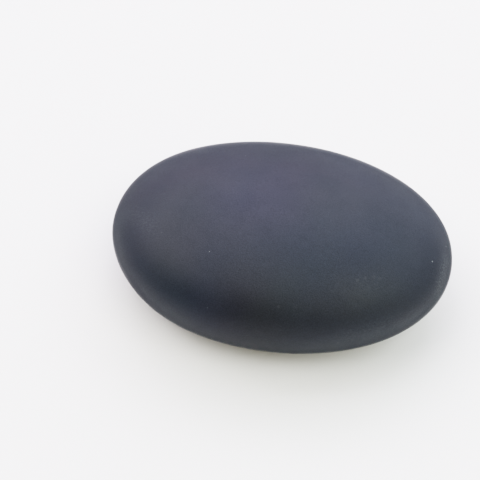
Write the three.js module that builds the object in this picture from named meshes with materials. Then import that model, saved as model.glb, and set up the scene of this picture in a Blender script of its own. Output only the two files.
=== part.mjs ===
import * as THREE from "three";
import { mergeVertices } from "three/addons/utils/BufferGeometryUtils.js";

// A river pebble: one dark, fine-grained stone that water has worn to a smooth, flattened oval.
// Millimetres, +Z up. X runs along the stone's length. The origin is on the surface that the stone
// rests on, under the middle of its outline.

// Overall size
const LENGTH = 120;
const WIDTH = 86;
const HEIGHT = 43;

// The stone is a ball of radius 1 that is worn, bent and then stretched to its size. The values
// below belong to that ball.

// A fullness of 2 is an ellipse, and a higher one is nearer to a box.
const PLAN_FULLNESS = 2.09;
const SIDE_FULLNESS = 2.2;

// The widest line round the stone lies at this share of the height.
const GIRDLE = 0.5;

// The width falls by this share from the middle to the +X end, and grows by it towards the other.
const TAPER = 0.035;
// Both ends are carried this far towards +Y.
const BOW = 0.014;

// Broad flats that the river has ground into the stone. Each faces along an azimuth and an
// elevation, in degrees, and lies at a reach from the middle: the lower the reach, the more is worn.
const WORN_FLATS = [
  { azimuth: 214, elevation: 0, reach: 1.15 },
  { azimuth: 119, elevation: 35, reach: 1.22 },
];
// How sharply a flat turns into the round of the stone
const WEAR_SHARPNESS = 12;

// The lowest part is worn to a small level patch. The patch lies this far up from the ball's
// lowest point, and turns into the round within the blend.
const REST_DEPTH = 0.06;
const REST_BLEND = 0.03;

// Each edge of the icosahedron that the ball starts from is cut at this many places.
const EDGE_CUTS = 17;

const STONE_COLOUR = 0x4a4d57;
const STONE_ROUGHNESS = 0.6;

function directionOf({ azimuth, elevation }) {
  const inPlan = THREE.MathUtils.degToRad(azimuth);
  const up = THREE.MathUtils.degToRad(elevation);
  return new THREE.Vector3(
    Math.cos(inPlan) * Math.cos(up),
    Math.sin(inPlan) * Math.cos(up),
    Math.sin(up),
  );
}

const flats = WORN_FLATS.map((flat) => ({
  facing: directionOf(flat),
  reach: flat.reach,
}));

// Moves a point of the ball in or out, so that the ball becomes full in plan and side view and
// gets its worn flats.
function wear(point) {
  const inPlan =
    Math.abs(point.x) ** PLAN_FULLNESS + Math.abs(point.y) ** PLAN_FULLNESS;
  const upright = Math.abs(point.z) ** SIDE_FULLNESS;
  const round =
    (inPlan ** (SIDE_FULLNESS / PLAN_FULLNESS) + upright) **
    (1 / SIDE_FULLNESS);
  const ground = flats.map(
    ({ facing, reach }) => Math.max(0, point.dot(facing)) / reach,
  );
  const worn = [round, ...ground].reduce(
    (sum, share) => sum + share ** WEAR_SHARPNESS,
    0,
  );
  point.multiplyScalar(worn ** (-1 / WEAR_SHARPNESS));
}

// Narrows the +X end, bows the stone sideways, and sets the widest line at its height.
function bend(point) {
  const half = point.z > 0 ? 1 - GIRDLE : GIRDLE;
  point.set(
    point.x,
    point.y * (1 - TAPER * point.x) + BOW * point.x ** 2,
    point.z * half,
  );
}

// Wears everything under a level down to that level, with a soft edge.
function restOn(point, level) {
  const above = point.z - level;
  if (above > REST_BLEND) return;
  const blended = Math.max(0, above + REST_BLEND) ** 2 / (4 * REST_BLEND);
  point.z = level + blended;
}

function pebbleGeometry() {
  const geometry = new THREE.IcosahedronGeometry(1, EDGE_CUTS);
  geometry.deleteAttribute("normal");
  geometry.deleteAttribute("uv");
  const ball = mergeVertices(geometry);

  const position = ball.getAttribute("position");
  const points = Array.from({ length: position.count }, (_, i) =>
    new THREE.Vector3().fromBufferAttribute(position, i).normalize(),
  );
  points.forEach(wear);
  points.forEach(bend);
  const level = Math.min(...points.map((point) => point.z)) + REST_DEPTH;
  points.forEach((point) => restOn(point, level));
  points.forEach((point, i) => position.setXYZ(i, point.x, point.y, point.z));

  // The stone gets its exact size and stands at the origin.
  ball.computeBoundingBox();
  const low = ball.boundingBox.min;
  const high = ball.boundingBox.max;
  ball.translate(-(low.x + high.x) / 2, -(low.y + high.y) / 2, -low.z);
  ball.scale(
    LENGTH / (high.x - low.x),
    WIDTH / (high.y - low.y),
    HEIGHT / (high.z - low.z),
  );
  ball.computeVertexNormals();
  return ball;
}

const pebble = new THREE.Mesh(
  pebbleGeometry(),
  new THREE.MeshStandardMaterial({
    color: STONE_COLOUR,
    roughness: STONE_ROUGHNESS,
    metalness: 0,
  }),
);
pebble.name = "pebble";

const riverPebble = new THREE.Group();
riverPebble.name = "river_pebble";
riverPebble.add(pebble);

export default riverPebble;
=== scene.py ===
# A dark river pebble, seen from above its long side on a pale table in soft light.
# Metres, with +Z up and X along the stone. The stone stands at the origin.

import math
import random

import bmesh
import bpy
import numpy as np
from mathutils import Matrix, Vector, noise


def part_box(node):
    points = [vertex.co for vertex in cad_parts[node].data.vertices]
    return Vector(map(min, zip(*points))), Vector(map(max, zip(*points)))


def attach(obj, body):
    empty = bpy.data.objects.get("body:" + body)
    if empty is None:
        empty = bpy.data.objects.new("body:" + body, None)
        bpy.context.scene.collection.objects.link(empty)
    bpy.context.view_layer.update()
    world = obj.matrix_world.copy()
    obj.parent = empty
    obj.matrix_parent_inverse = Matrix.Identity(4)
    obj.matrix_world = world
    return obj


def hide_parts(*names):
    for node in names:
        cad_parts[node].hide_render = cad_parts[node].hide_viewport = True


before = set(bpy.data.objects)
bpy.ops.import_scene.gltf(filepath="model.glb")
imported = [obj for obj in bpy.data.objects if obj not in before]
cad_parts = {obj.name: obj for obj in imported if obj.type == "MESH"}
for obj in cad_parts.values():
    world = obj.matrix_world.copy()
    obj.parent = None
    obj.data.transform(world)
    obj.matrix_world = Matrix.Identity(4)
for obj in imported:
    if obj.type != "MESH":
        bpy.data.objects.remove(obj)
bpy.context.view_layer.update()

MM = 0.001

# Shape. The stone is a ball of radius 1 that is worn, bent and then stretched to the size of the
# CAD node, and the values of this part belong to that ball.

# A fullness of 2 is an ellipse, and a higher one is nearer to a box.
PLAN_FULLNESS = 2.09
SIDE_FULLNESS = 2.2
# The widest line round the stone lies at this share of the height.
GIRDLE = 0.5
# The width falls by this share from the middle to the +X end, and grows by it towards the other.
TAPER = 0.035
# Both ends are carried this far towards +Y.
BOW = 0.014
# Broad flats, each facing along an azimuth and an elevation in degrees, at a reach from the middle
WORN_FLATS = ((214, 0, 1.15), (119, 35, 1.22))
WEAR_SHARPNESS = 12
# The level patch underneath lies this far up from the lowest point, and has a soft edge.
REST_DEPTH = 0.06
REST_BLEND = 0.03

# Each of the ball's six faces is a grid with this many squares to a side.
GRID_SQUARES = 126

# Relief of the finished stone. Its surface rolls a little, and has shallow dings from other stones.
ROLL_LENGTH = 22 * MM
ROLL_DEPTH = 0.07 * MM
# How fast the roll's finer waves fade, how much finer each is than the last, and how many there are
ROLL_WAVES = (1.0, 2.0, 2)
DING_COUNT = 70
DING_RADII = (0.7 * MM, 2.2 * MM)
# A ding's depth, as a share of its radius
DING_STEEPNESS = 0.035

SEED = 7

# Camera. It turns about the stone's middle, and then aims a little to the side of it.
CAMERA_TURN = math.radians(10.87)
CAMERA_RISE = math.radians(50)
CAMERA_FIELD = math.radians(38)
CAMERA_DISTANCE = 246.0 * MM
AIM_RIGHT = -13.73 * MM
AIM_UP = -0.74 * MM
SENSOR = 36.0
# Nothing nearer to the camera than this shows.
NEAREST = 10 * MM
IMAGE_SIZE = 480

# Marks on the stone: picture x and y, radius, and strength
PALE_SPECKS = (
    (209.5, 251.5, 0.20 * MM, 0.8),
    (432.4, 261.5, 0.31 * MM, 1.0),
    (446.0, 246.4, 0.26 * MM, 0.8),
    (245.7, 155.7, 0.25 * MM, 0.3),
    (161.5, 232.5, 0.25 * MM, 0.11),
    (207.5, 307.7, 0.25 * MM, 0.15),
)
PALE_SMUDGES = (
    (357.5, 280.3, 0.9 * MM, 0.07),
    (365.5, 278.0, 0.9 * MM, 0.05),
    (374.0, 277.2, 1.0 * MM, 0.04),
    (380.0, 278.0, 0.8 * MM, 0.03),
    (278.7, 306.7, 0.7 * MM, 0.06),
    (295.3, 306.5, 0.8 * MM, 0.02),
)
# The soft edge of a speck takes this share of its radius. All other marks are soft to the middle.
SPECK_SOFTNESS = 0.5
SOFT = 1.0
# Specks like those on the sides that the picture doesn't show
HIDDEN_SPECKS = 9
HIDDEN_SPECK_RADIUS = 0.24 * MM
HIDDEN_SPECK_STRENGTH = 0.7
# Pale bands, partly rubbed stone and partly painted light: a painted highlight at the left end and on
# the top-left edge, and a painted reflection of the pale table along the lower-right rim. Where each
# starts and ends in the picture, its radius, and its strength
WEAR_AND_HIGHLIGHT_BANDS = (
    ((130.0, 213.0), (151.0, 225.0), 8.5 * MM, 0.30),
    ((203.0, 151.0), (203.0, 151.0), 6.0 * MM, 0.25),
    ((362.0, 287.0), (376.0, 285.0), 8.0 * MM, 0.15),
    ((346.0, 340.0), (392.0, 326.0), 9.0 * MM, 0.36),
    ((394.0, 325.0), (428.0, 309.0), 6.0 * MM, 0.28),
    ((438.0, 296.0), (446.0, 260.0), 5.5 * MM, 0.80),
)
# A band is laid as round spots that are this far apart in the picture.
BAND_STEP = 8.0
# Broad areas painted with the tint of reflected light: warmer in the dark band on the near side, from
# the table, and bluer on top, from above. Picture x and y, radius, and what the colour is multiplied by
PAINTED_LIGHT_TINTS = (
    (262.0, 312.0, 24 * MM, (1.24, 0.99, 0.84)),
    (330.0, 316.0, 16 * MM, (1.12, 1.00, 0.96)),
    (262.0, 192.0, 24 * MM, (1.04, 1.00, 1.20)),
    (300.0, 258.0, 26 * MM, (0.88, 1.02, 1.02)),
    (372.0, 246.0, 20 * MM, (0.95, 1.00, 1.10)),
)

# Texture. Each noise has the length of its waves, how much finer detail lies on them, and how rough
# that detail is. Its limits are the noise values between which it goes from none to all.
CLOUD_NOISE = (26 * MM, 3.0, 0.5)
CLOUD_LIMITS = (0.35, 0.65)
BLOTCH_NOISE = (4 * MM, 2.0, 0.5)
BLOTCH_LIMITS = (0.30, 0.70)
GRAIN_NOISE = (0.38 * MM, 2.0, 0.7)
GRAIN_LIMITS = (0.30, 0.70)
TINT_NOISE = (38 * MM, 1.0, 0.5)
TINT_LIMITS = (0.40, 0.60)
GLOSS_NOISE = (14 * MM, 3.0, 0.5)
GLOSS_LIMITS = (0.30, 0.70)
# How much of the stone's shade each takes
CLOUD_SHARE = 0.24
BLOTCH_SHARE = 0.06
GRAIN_SHARE = 0.70
# The strokes of a pale band are thin, and run this many times their width along the stone.
STROKE_NOISE = (0.5 * MM, 3.0, 0.6)
STROKE_LIMITS = (0.56, 0.72)
STROKE_STRETCH = 2.2
# Between its strokes a pale band, rubbed stone and painted highlight alike, keeps this share of its
# paleness.
WEAR_AND_HIGHLIGHT_BASE = 0.15
# The strokes are closer together in the middle of a pale band than at its edge.
STROKE_CROWDING = 0.10
# The grain's relief
TOOTH_DEPTH = 0.040 * MM

ROUGHNESS = (0.55, 0.62)
GRAIN_ROUGHNESS = 0.04
# A facing is 0 where the surface looks at the eye and 1 where it is edge-on. At this blend it is 1
# less the cosine between them.
FACING_BLEND = 0.5
# Where the surface turns away from the eye, between two facings, its fine tooth dulls it by this
# much more.
RIM_FACING = (0.45, 0.85)
RIM_ROUGHNESS = 0.20
# Nearly edge-on even a dull surface shines, so there it loses this much roughness again.
EDGE_FACING = (0.70, 0.92)
EDGE_SHINE = 0.30
SPECULAR_LEVEL = 0.25

# Colours, linear
STONE_DARK = (0.0056, 0.0080, 0.0130)
STONE_LIGHT = (0.0114, 0.0160, 0.0250)
VIOLET_TINT = (1.04, 0.99, 1.03)
GREEN_TINT = (0.97, 1.01, 0.98)
PALE_COLOUR = (0.13, 0.14, 0.15)
# The pale bands' colour: rubbed stone, and a painted highlight and painted reflection of the table
WEAR_AND_HIGHLIGHT_COLOUR = (0.034, 0.041, 0.048)
TABLE_RADIUS = 2.4
TABLE_EDGES = 96
TABLE_COLOUR = (0.80, 0.80, 0.80)
TABLE_ROUGHNESS = 1.0
TABLE_SPECULAR_LEVEL = 0.0
BACKDROP_COLOUR = (0.90, 0.90, 0.90)
BACKDROP_LIGHT = 2.6

# Light. Square panels stand round the stone: a turn from the far side, clockwise seen from above,
# a rise above the table, both in degrees, and the power of red, green and blue in watts
PANEL_SIZE = 2.1
PANEL_DISTANCE = 3.0
PANELS = {
    "far_right_low": (45, 12, (23, 26, 31)),
    "near_right_low": (135, 12, (32, 28, 19)),
    "far": (0, 35, (100, 84, 105)),
    "far_right": (45, 35, (102, 108, 121)),
    "right": (90, 35, (57, 64, 64)),
    "near_right": (135, 35, (43, 38, 24)),
    "left": (270, 35, (71, 66, 61)),
    "far_left": (315, 35, (113, 102, 112)),
    "far_high": (0, 60, (111, 111, 130)),
    "near_right_high": (135, 60, (142, 145, 136)),
    "left_high": (270, 60, (127, 127, 127)),
}

# The camera's response. Tones near the toe and below it deepen, and bright ones roll off: without
# the toe, the light on the pale table, WHITE_LIGHT, would show as WHITE_TONE.
TOE = 0.18
WHITE_LIGHT = 4.0
WHITE_TONE = 0.91
BRIGHTEST_LIGHT = 8.0
CURVE_STEPS = 40
# After the curves of red, green and blue comes the one for all three.
COMBINED_CURVE = 3


def direction(azimuth, elevation):
    """The unit vector along an azimuth, from +X towards +Y, and an elevation, both in degrees."""
    turn, rise = math.radians(azimuth), math.radians(elevation)
    return np.array((math.cos(turn) * math.cos(rise), math.sin(turn) * math.cos(rise), math.sin(rise)))


def ball():
    """A mesh of a ball of radius 1, from a cube with evenly cut faces."""
    mesh = bmesh.new()
    bmesh.ops.create_cube(mesh, size=2)
    bmesh.ops.subdivide_edges(mesh, edges=mesh.edges, cuts=GRID_SQUARES - 1, use_grid_fill=True)
    for vertex in mesh.verts:
        vertex.co = Vector(math.tan(c * math.pi / 4) for c in vertex.co).normalized()
    return mesh


def wear(points):
    """Fills out the ball's plan and side view, and grinds its flats."""
    size = np.abs(points)
    in_plan = size[:, 0] ** PLAN_FULLNESS + size[:, 1] ** PLAN_FULLNESS
    upright = size[:, 2] ** SIDE_FULLNESS
    round_share = (in_plan ** (SIDE_FULLNESS / PLAN_FULLNESS) + upright) ** (1 / SIDE_FULLNESS)
    worn = round_share**WEAR_SHARPNESS
    for azimuth, elevation, reach in WORN_FLATS:
        facing = np.maximum(0, points @ direction(azimuth, elevation))
        worn += (facing / reach) ** WEAR_SHARPNESS
    return points * worn[:, None] ** (-1 / WEAR_SHARPNESS)


def bend(points):
    """Narrows the +X end, bows the stone sideways, and sets the widest line at its height."""
    x, y, z = points.T
    half = np.where(z > 0, 1 - GIRDLE, GIRDLE)
    return np.column_stack((x, y * (1 - TAPER * x) + BOW * x**2, z * half))


def rest(points):
    """Wears the lowest part down to a level patch with a soft edge."""
    level = points[:, 2].min() + REST_DEPTH
    above = points[:, 2] - level
    blended = np.maximum(0, above + REST_BLEND) ** 2 / (4 * REST_BLEND)
    points[:, 2] = level + np.where(above > REST_BLEND, above, blended)
    return points


def fit(points, low, high):
    """Stretches the points to a box."""
    own_low, own_high = points.min(axis=0), points.max(axis=0)
    share = (points - own_low) / (own_high - own_low)
    return np.array(low) + share * (np.array(high) - np.array(low))


def rolling(points):
    """How deep the slow roll of the surface lies at each point, as a share from 0 to 1."""
    waves = (noise.fractal(Vector(point) / ROLL_LENGTH, *ROLL_WAVES) for point in points)
    return 0.5 + 0.5 * np.clip(np.fromiter(waves, float, len(points)), -1, 1)


def dings(points):
    """How deep the dings are at each point, in metres."""
    chance = random.Random(SEED)
    depth = np.zeros(len(points))
    for _ in range(DING_COUNT):
        middle = points[chance.randrange(len(points))]
        radius = chance.uniform(*DING_RADII)
        share = np.linalg.norm(points - middle, axis=1) / radius
        bowl = np.where(share < 1, (1 - share**2) ** 2, 0)
        depth = np.maximum(depth, bowl * radius * DING_STEEPNESS)
    return depth


def make_pebble():
    """The stone as one fine mesh in the place of the CAD node."""
    low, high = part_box("pebble")
    shape = ball()
    points = np.array([vertex.co for vertex in shape.verts])
    points = fit(rest(bend(wear(points))), low, high)
    for vertex, point in zip(shape.verts, points):
        vertex.co = point
    shape.normal_update()
    normals = np.array([vertex.normal for vertex in shape.verts])
    depth = rolling(points) * ROLL_DEPTH + dings(points)
    points -= normals * depth[:, None]
    points[:, 2] = np.maximum(points[:, 2], low.z)
    for vertex, point in zip(shape.verts, points):
        vertex.co = point
    mesh = bpy.data.meshes.new("pebble_surface")
    shape.to_mesh(mesh)
    shape.free()
    mesh.shade_smooth()
    piece = bpy.data.objects.new("pebble_surface", mesh)
    bpy.context.scene.collection.objects.link(piece)
    return piece


def camera_axes():
    """The camera's right, up and backward directions."""
    back = Vector((
        math.sin(CAMERA_TURN) * math.cos(CAMERA_RISE),
        -math.cos(CAMERA_TURN) * math.cos(CAMERA_RISE),
        math.sin(CAMERA_RISE),
    ))
    right = Vector((math.cos(CAMERA_TURN), math.sin(CAMERA_TURN), 0))
    return right, back.cross(right), back


def make_camera():
    """The camera, in the place that gives the picture's view of the stone."""
    low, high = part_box("pebble")
    right, up, back = camera_axes()
    data = bpy.data.cameras.new("camera")
    data.sensor_width = SENSOR
    data.lens = SENSOR / 2 / math.tan(CAMERA_FIELD / 2)
    data.clip_start = NEAREST
    camera = bpy.data.objects.new("camera", data)
    aim = (low + high) / 2 + right * AIM_RIGHT + up * AIM_UP
    camera.location = aim + back * CAMERA_DISTANCE
    camera.rotation_euler = (-back).to_track_quat("-Z", "Y").to_euler()
    bpy.context.scene.collection.objects.link(camera)
    bpy.context.scene.camera = camera
    return camera


def on_stone(piece, camera, x, y):
    """The point of the stone that shows at a place in the picture."""
    right, up, back = camera_axes()
    half = IMAGE_SIZE / 2
    spread = math.tan(CAMERA_FIELD / 2)
    ray = right * (x - half) / half * spread + up * (half - y) / half * spread - back
    hit, place, _, _ = piece.ray_cast(camera.location, ray.normalized())
    if not hit:
        raise ValueError(f"no stone at picture place {x}, {y}")
    return place


class Nodes:
    """Makes the nodes of one material. An input is a plain value or another node's output."""

    def __init__(self, name):
        self.material = bpy.data.materials.new(name)
        self.material.use_nodes = True
        self.tree = self.material.node_tree
        self.shader = self.tree.nodes["Principled BSDF"]

    def put(self, socket, value):
        """Gives an input a plain value, or links another node's output to it."""
        if isinstance(value, bpy.types.NodeSocket):
            self.tree.links.new(value, socket)
        elif socket.type == "RGBA":
            socket.default_value = (*value, 1)
        else:
            socket.default_value = value

    def add(self, kind, **inputs):
        """A shader node of a kind, with the named inputs given."""
        node = self.tree.nodes.new("ShaderNode" + kind)
        for name, value in inputs.items():
            self.put(node.inputs[name.replace("_", " ")], value)
        return node

    def math(self, operation, *values):
        """The result of a math operation on the values."""
        node = self.tree.nodes.new("ShaderNodeMath")
        node.operation = operation
        for socket, value in zip(node.inputs, values):
            self.put(socket, value)
        return node.outputs[0]

    def ramp(self, value, start, end, low=0.0, high=1.0):
        """Turns a value from start to end smoothly into one from low to high."""
        node = self.add("MapRange", Value=value, From_Min=start, From_Max=end, To_Min=low, To_Max=high)
        node.interpolation_type = "SMOOTHSTEP"
        return node.outputs["Result"]

    def mix(self, share, first, second, blend="MIX"):
        """The first colour with a share of the second mixed in, or blended in another way."""
        node = self.tree.nodes.new("ShaderNodeMix")
        node.data_type = "RGBA"
        node.blend_type = blend
        for name, value in (("Factor_Float", share), ("A_Color", first), ("B_Color", second)):
            self.put(next(s for s in node.inputs if s.identifier == name), value)
        return next(s for s in node.outputs if s.identifier == "Result_Color")

    def noise(self, place, length, detail, roughness):
        """Noise with waves of about a length, from 0 to 1."""
        node = self.add("TexNoise", Vector=place, Scale=1 / length, Detail=detail, Roughness=roughness)
        return node.outputs[0]

    def spot(self, place, middle, radius, softness):
        """1 in the middle of a round spot and 0 outside it."""
        gap = self.add("VectorMath")
        gap.operation = "DISTANCE"
        self.put(gap.inputs[0], place)
        self.put(gap.inputs[1], middle)
        return self.ramp(gap.outputs["Value"], radius, radius * (1 - softness))


def largest(nodes, masks):
    """The largest of several masks."""
    top = masks[0]
    for mask in masks[1:]:
        top = nodes.math("MAXIMUM", top, mask)
    return top


def hidden_points(piece):
    """A few points on the sides of the stone that the picture doesn't show."""
    chance = random.Random(SEED)
    _, _, back = camera_axes()
    hidden = [vertex.co for vertex in piece.data.vertices if vertex.normal.dot(back) < 0]
    return chance.sample(hidden, HIDDEN_SPECKS)


def pale_marks(nodes, piece, camera, place):
    """The mask of the specks and smudges."""
    marks = []
    for group, softness in ((PALE_SPECKS, SPECK_SOFTNESS), (PALE_SMUDGES, SOFT)):
        for x, y, radius, strength in group:
            marks.append((on_stone(piece, camera, x, y), radius, strength, softness))
    for point in hidden_points(piece):
        marks.append((point, HIDDEN_SPECK_RADIUS, HIDDEN_SPECK_STRENGTH, SPECK_SOFTNESS))
    return largest(nodes, [
        nodes.math("MULTIPLY", nodes.spot(place, middle, radius, softness), strength)
        for middle, radius, strength, softness in marks
    ])


def band_mask(nodes, piece, camera, place, start, end, radius):
    """The mask of one pale band, rubbed stone and painted highlight, before it is broken up."""
    steps = round(math.dist(start, end) / BAND_STEP)
    spots = []
    for step in range(steps + 1):
        x, y = Vector(start).lerp(Vector(end), step / max(1, steps))
        spots.append(nodes.spot(place, on_stone(piece, camera, x, y), radius, SOFT))
    return largest(nodes, spots)


def wear_and_highlight_mask(nodes, piece, camera, place):
    """The mask of the pale bands, rubbed stone with a painted highlight and painted reflection, broken
    up into strokes.
    """
    bands = [band_mask(nodes, piece, camera, place, *band[:3]) for band in WEAR_AND_HIGHLIGHT_BANDS]
    cover = largest(nodes, bands)
    paleness = largest(nodes, [
        nodes.math("MULTIPLY", mask, strength) for mask, (_, _, _, strength) in zip(bands, WEAR_AND_HIGHLIGHT_BANDS)
    ])
    along = nodes.add("VectorMath")
    along.operation = "MULTIPLY"
    nodes.put(along.inputs[0], place)
    nodes.put(along.inputs[1], (1 / STROKE_STRETCH, 1, 1))
    strokes = nodes.noise(along.outputs[0], *STROKE_NOISE)
    strokes = nodes.math("MULTIPLY_ADD", cover, STROKE_CROWDING, strokes)
    return nodes.math("MULTIPLY", paleness, nodes.ramp(strokes, *STROKE_LIMITS, WEAR_AND_HIGHLIGHT_BASE, 1.0))


def stone_material(piece, camera):
    """The stone's colour, wear and finish."""
    nodes = Nodes("river_stone")
    place = nodes.add("TexCoord").outputs["Object"]

    # Shade: slow clouds, blotches and mineral grain
    cloud = nodes.ramp(nodes.noise(place, *CLOUD_NOISE), *CLOUD_LIMITS)
    blotch = nodes.ramp(nodes.noise(place, *BLOTCH_NOISE), *BLOTCH_LIMITS)
    grain = nodes.noise(place, *GRAIN_NOISE)
    grain_shade = nodes.ramp(grain, *GRAIN_LIMITS)
    shade = nodes.math("MULTIPLY", cloud, CLOUD_SHARE)
    shade = nodes.math("MULTIPLY_ADD", blotch, BLOTCH_SHARE, shade)
    shade = nodes.math("MULTIPLY_ADD", grain_shade, GRAIN_SHARE, shade)
    colour = nodes.mix(shade, STONE_DARK, STONE_LIGHT)

    # A slow change of tint
    tint = nodes.ramp(nodes.noise(place, *TINT_NOISE), *TINT_LIMITS)
    colour = nodes.mix(1.0, colour, nodes.mix(tint, VIOLET_TINT, GREEN_TINT), "MULTIPLY")

    # Painted light: the tint of reflected light, warmer in the dark band and bluer on top, multiplied
    # into the colour
    for x, y, radius, painted_light_tint in PAINTED_LIGHT_TINTS:
        painted_light_area = nodes.spot(place, on_stone(piece, camera, x, y), radius, SOFT)
        colour = nodes.mix(painted_light_area, colour, painted_light_tint, "MULTIPLY")

    # Wear, with a painted highlight and a painted reflection in the pale bands
    # The pale bands: rubbed stone, a painted highlight at the left end and top-left edge, and a painted
    # reflection of the table along the lower-right rim
    wear_and_highlight = wear_and_highlight_mask(nodes, piece, camera, place)
    colour = nodes.mix(wear_and_highlight, colour, WEAR_AND_HIGHLIGHT_COLOUR)
    colour = nodes.mix(pale_marks(nodes, piece, camera, place), colour, PALE_COLOUR)
    nodes.put(nodes.shader.inputs["Base Color"], colour)

    # Finish: satin, a little uneven, with a fine tooth
    gloss = nodes.ramp(nodes.noise(place, *GLOSS_NOISE), *GLOSS_LIMITS, *ROUGHNESS)
    facing = nodes.add("LayerWeight", Blend=FACING_BLEND).outputs["Facing"]
    gloss = nodes.math("ADD", gloss, nodes.ramp(facing, *RIM_FACING, 0.0, RIM_ROUGHNESS))
    gloss = nodes.math("SUBTRACT", gloss, nodes.ramp(facing, *EDGE_FACING, 0.0, EDGE_SHINE))
    gloss = nodes.math("SUBTRACT", gloss, nodes.math("MULTIPLY", grain_shade, GRAIN_ROUGHNESS))
    nodes.put(nodes.shader.inputs["Roughness"], gloss)
    nodes.put(nodes.shader.inputs["Specular IOR Level"], SPECULAR_LEVEL)
    bump = nodes.add("Bump", Strength=1.0, Distance=TOOTH_DEPTH, Height=grain)
    nodes.put(nodes.shader.inputs["Normal"], bump.outputs["Normal"])
    return nodes.material


def make_table():
    """A round pale table, far wider than the stone."""
    shape = bmesh.new()
    bmesh.ops.create_circle(shape, cap_ends=True, segments=TABLE_EDGES, radius=TABLE_RADIUS)
    mesh = bpy.data.meshes.new("table")
    shape.to_mesh(mesh)
    shape.free()
    table = bpy.data.objects.new("table", mesh)
    bpy.context.scene.collection.objects.link(table)
    nodes = Nodes("table")
    nodes.put(nodes.shader.inputs["Base Color"], TABLE_COLOUR)
    nodes.put(nodes.shader.inputs["Roughness"], TABLE_ROUGHNESS)
    nodes.put(nodes.shader.inputs["Specular IOR Level"], TABLE_SPECULAR_LEVEL)
    mesh.materials.append(nodes.material)


def make_panel(name, turn, rise, colour):
    """A square light panel that faces the stone."""
    right, _, back = camera_axes()
    away = Vector((-back.x, -back.y, 0)).normalized()
    turn, rise = math.radians(turn), math.radians(rise)
    level = away * math.cos(turn) + right * math.sin(turn)
    towards = level * math.cos(rise) + Vector((0, 0, math.sin(rise)))
    data = bpy.data.lights.new(name, "AREA")
    data.shape = "SQUARE"
    data.size = PANEL_SIZE
    data.energy = max(colour)
    data.color = [c / max(colour) for c in colour]
    panel = bpy.data.objects.new(name, data)
    panel.location = towards * PANEL_DISTANCE
    panel.visible_camera = False
    panel.rotation_euler = (-towards).to_track_quat("-Z", "Y").to_euler()
    bpy.context.scene.collection.objects.link(panel)


def make_room():
    """A pale backdrop. It only shows behind the table, and lights nothing."""
    world = bpy.data.worlds.new("room")
    world.use_nodes = True
    background = world.node_tree.nodes["Background"]
    background.inputs["Color"].default_value = (*BACKDROP_COLOUR, 1)
    rays = world.node_tree.nodes.new("ShaderNodeLightPath")
    seen = world.node_tree.nodes.new("ShaderNodeMath")
    seen.operation = "MULTIPLY"
    seen.inputs[1].default_value = BACKDROP_LIGHT
    world.node_tree.links.new(rays.outputs["Is Camera Ray"], seen.inputs[0])
    world.node_tree.links.new(seen.outputs[0], background.inputs["Strength"])
    bpy.context.scene.world = world


def response(light):
    """How bright a light shows in the picture. Both are linear."""
    shoulder = 1 / WHITE_TONE - 1 / WHITE_LIGHT
    return light / (1 + shoulder * light) * light / (light + TOE)


def set_response():
    """Gives the picture the camera's response, with closer steps among the dark tones."""
    view = bpy.context.scene.view_settings
    view.view_transform = "Standard"
    view.use_curve_mapping = True
    mapping = view.curve_mapping
    mapping.white_level = (BRIGHTEST_LIGHT, BRIGHTEST_LIGHT, BRIGHTEST_LIGHT)
    curve = mapping.curves[COMBINED_CURVE]
    curve.points[-1].location = (1, response(BRIGHTEST_LIGHT))
    for step in range(1, CURVE_STEPS):
        share = (step / CURVE_STEPS) ** 2
        curve.points.new(share, response(share * BRIGHTEST_LIGHT))
    for point in curve.points:
        point.handle_type = "VECTOR"
    mapping.update()


camera = make_camera()
pebble = make_pebble()
pebble.data.materials.append(stone_material(pebble, camera))
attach(pebble, "root")
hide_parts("pebble")

make_table()
for panel_name, (turn, rise, colour) in PANELS.items():
    make_panel(panel_name, turn, rise, colour)
make_room()
set_response()
